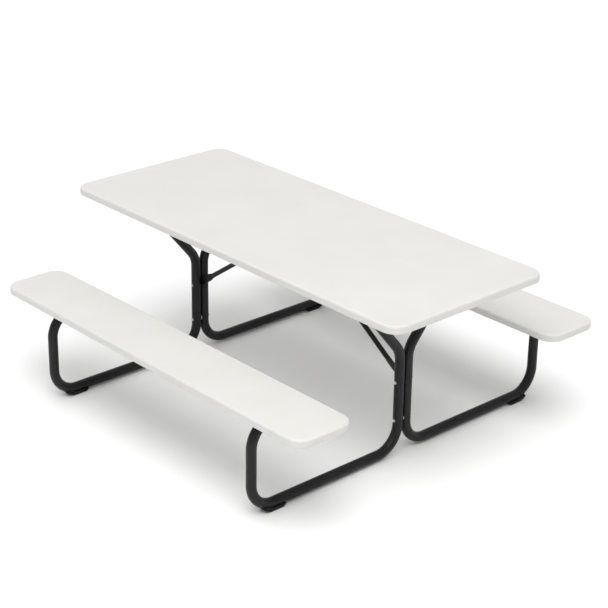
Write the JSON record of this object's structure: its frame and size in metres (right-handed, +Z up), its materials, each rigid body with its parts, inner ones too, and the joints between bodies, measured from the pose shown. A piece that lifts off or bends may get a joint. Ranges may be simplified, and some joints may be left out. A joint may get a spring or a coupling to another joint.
{
  "type": "picnic table",
  "caption": "Rectangular picnic table with attached bench seats, moulded plastic panels on bent steel tube end frames with diagonal braces.",
  "frame": {"origin": "on the floor, below the middle of the table top", "axes": "+X along the length of the table, +Y across it to the rear bench, +Z up"},
  "size_m": [1.83, 1.528, 0.724],
  "materials": {
    "panel": "off-white blow-moulded polyethylene, fine matt texture",
    "frame_steel": "satin black powder coat",
    "black_plastic": "matt black moulded plastic",
    "zinc": "bright zinc plate",
    "insert_brass": "plain turned brass"
  },
  "bodies": {
    "root": {"table_top": "panel", "front_bench_seat": "panel", "rear_bench_seat": "panel", "left_front_leg_tube": "frame_steel", "left_rear_leg_tube": "frame_steel", "right_front_leg_tube": "frame_steel", "right_rear_leg_tube": "frame_steel", "left_brace": "frame_steel", "right_brace": "frame_steel", "left_front_foot_pad": "black_plastic", "left_rear_foot_pad": "black_plastic", "right_front_foot_pad": "black_plastic", "right_rear_foot_pad": "black_plastic", "table_arm_end_caps": "black_plastic", "bench_arm_end_caps": "black_plastic", "cross_bolts": "zinc", "cross_bolt_washers": "zinc", "cross_bolt_nuts": "zinc", "tube_spacers": "zinc", "table_screws": "zinc", "table_screw_washers": "zinc", "table_inserts": "insert_brass", "bench_screws": "zinc", "bench_screw_washers": "zinc", "bench_inserts": "insert_brass", "brace_screws": "zinc", "brace_inserts": "insert_brass", "foot_rivets": "black_plastic"}
  },
  "joints": []
}
